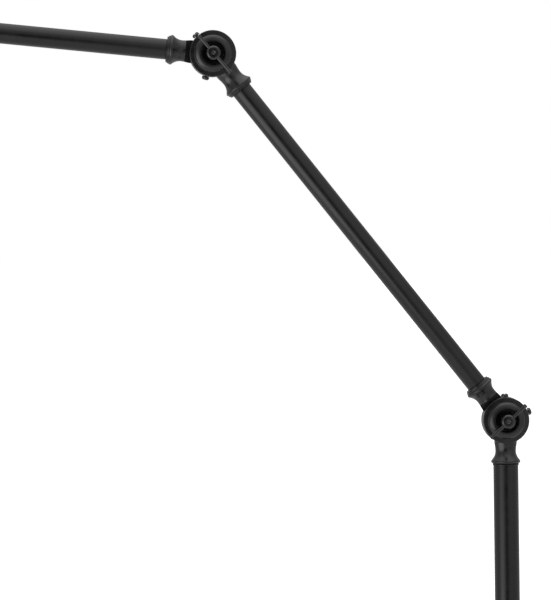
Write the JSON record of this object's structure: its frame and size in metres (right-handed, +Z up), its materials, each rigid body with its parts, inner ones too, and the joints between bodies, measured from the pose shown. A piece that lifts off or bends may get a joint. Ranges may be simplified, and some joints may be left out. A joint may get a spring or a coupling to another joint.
{
  "type": "adjustable floor lamp",
  "caption": "Black task floor lamp with a weighted round base, upright column, straight arms joined by disc knuckles with clamp screws, and a tilting bell shade.",
  "frame": {"origin": "centre of the floor pad's underside, on the floor, on the column's axis", "axes": "+Z up along the column; the arms swing in the XZ plane and reach towards -X; the clamp screws face -Y"},
  "size_m": [1.1211, 0.32, 1.5518],
  "materials": {
    "powder_coat": "fine sand-textured satin black powder coat",
    "base_coat": "fine sand-textured satin black powder coat over cast iron",
    "black_steel": "semi-gloss blackened steel",
    "zinc_steel": "zinc plated",
    "brass": "satin",
    "fibre": "matt fibre",
    "felt": "dense felt",
    "rubber": "matt",
    "ceramic": "glazed",
    "opal": "opal, satin",
    "black_plastic": "satin black bakelite"
  },
  "bodies": {
    "column_assembly": {"floor_pad": "felt", "base_weight": "base_coat", "base_washer": "zinc_steel", "base_bolt": "zinc_steel", "base_socket": "powder_coat", "socket_grub_screw": "black_steel", "cable_grommet": "rubber", "column_tube": "powder_coat", "column_collar": "powder_coat", "lower_near_half": "powder_coat", "lower_near_side_screw": "black_steel", "lower_friction_washer": "fibre", "lower_clamp_washer": "black_steel"},
    "middle_arm": {"lower_far_half": "powder_coat", "lower_far_side_screw": "black_steel", "lower_clamp_nut": "black_steel", "middle_lower_collar": "powder_coat", "middle_tube": "powder_coat", "middle_upper_collar": "powder_coat", "upper_near_half": "powder_coat", "upper_near_side_screw": "black_steel", "upper_friction_washer": "fibre", "upper_clamp_washer": "black_steel"},
    "upper_arm": {"upper_far_half": "powder_coat", "upper_far_side_screw": "black_steel", "upper_clamp_nut": "black_steel", "upper_inner_collar": "powder_coat", "upper_tube": "powder_coat", "upper_outer_collar": "powder_coat", "head_near_half": "powder_coat", "head_near_side_screw": "black_steel", "head_friction_washer": "fibre", "head_clamp_washer": "black_steel"},
    "lamp_head": {"head_far_half": "powder_coat", "head_far_side_screw": "black_steel", "head_clamp_nut": "black_steel", "head_collar": "powder_coat", "holder_cup": "powder_coat", "cup_nut": "zinc_steel", "holder_nipple": "brass", "lamp_holder": "ceramic", "shade": "powder_coat", "shade_ring": "black_plastic", "bulb_cap": "brass", "bulb_contact": "zinc_steel", "bulb_glass": "opal", "switch_body": "black_plastic"},
    "lower_screw": {"lower_clamp_screw": "black_steel"},
    "lower_bar": {"lower_tommy_bar": "black_steel"},
    "upper_screw": {"upper_clamp_screw": "black_steel"},
    "upper_bar": {"upper_tommy_bar": "black_steel"},
    "head_screw": {"head_clamp_screw": "black_steel"},
    "head_bar": {"head_tommy_bar": "black_steel"},
    "switch_dial": {"switch_knob": "black_plastic"}
  },
  "joints": [
    {"name": "lower_knuckle", "type": "hinge", "parent": "column_assembly", "child": "middle_arm", "pos_m": [0, 0, 1], "axis": [0, -1, 0], "range_deg": [-35, 45]},
    {"name": "upper_knuckle", "type": "hinge", "parent": "middle_arm", "child": "upper_arm", "pos_m": [-0.36857, 0, 1.47345], "axis": [0, -1, 0], "range_deg": [-70, 60]},
    {"name": "head_knuckle", "type": "hinge", "parent": "upper_arm", "child": "lamp_head", "pos_m": [-0.81594, 0, 1.52205], "axis": [0, -1, 0], "range_deg": [-80, 40]},
    {"name": "lower_screw_turn", "type": "hinge", "parent": "column_assembly", "child": "lower_screw", "pos_m": [0, -0.0358, 1], "axis": [0, -1, 0], "range_deg": [-15, 180]},
    {"name": "lower_bar_slide", "type": "slide", "parent": "lower_screw", "child": "lower_bar", "axis": [0.7431, 0, 0.6691], "range_m": [-0.0175, 0.0175]},
    {"name": "upper_screw_turn", "type": "hinge", "parent": "middle_arm", "child": "upper_screw", "pos_m": [-0.36857, -0.0358, 1.47345], "axis": [0, -1, 0], "range_deg": [-15, 180]},
    {"name": "upper_bar_slide", "type": "slide", "parent": "upper_screw", "child": "upper_bar", "axis": [0.6428, 0, -0.766], "range_m": [-0.0198, 0.0152]},
    {"name": "head_screw_turn", "type": "hinge", "parent": "upper_arm", "child": "head_screw", "pos_m": [-0.81594, -0.0358, 1.52205], "axis": [0, -1, 0], "range_deg": [-15, 180]},
    {"name": "head_bar_slide", "type": "slide", "parent": "head_screw", "child": "head_bar", "axis": [0.4695, 0, 0.8829], "range_m": [-0.016, 0.019]},
    {"name": "switch_turn", "type": "hinge", "parent": "lamp_head", "child": "switch_dial", "pos_m": [-0.82847, -0.038, 1.43293], "axis": [0, -1, 0], "range_deg": [0, 90]}
  ]
}
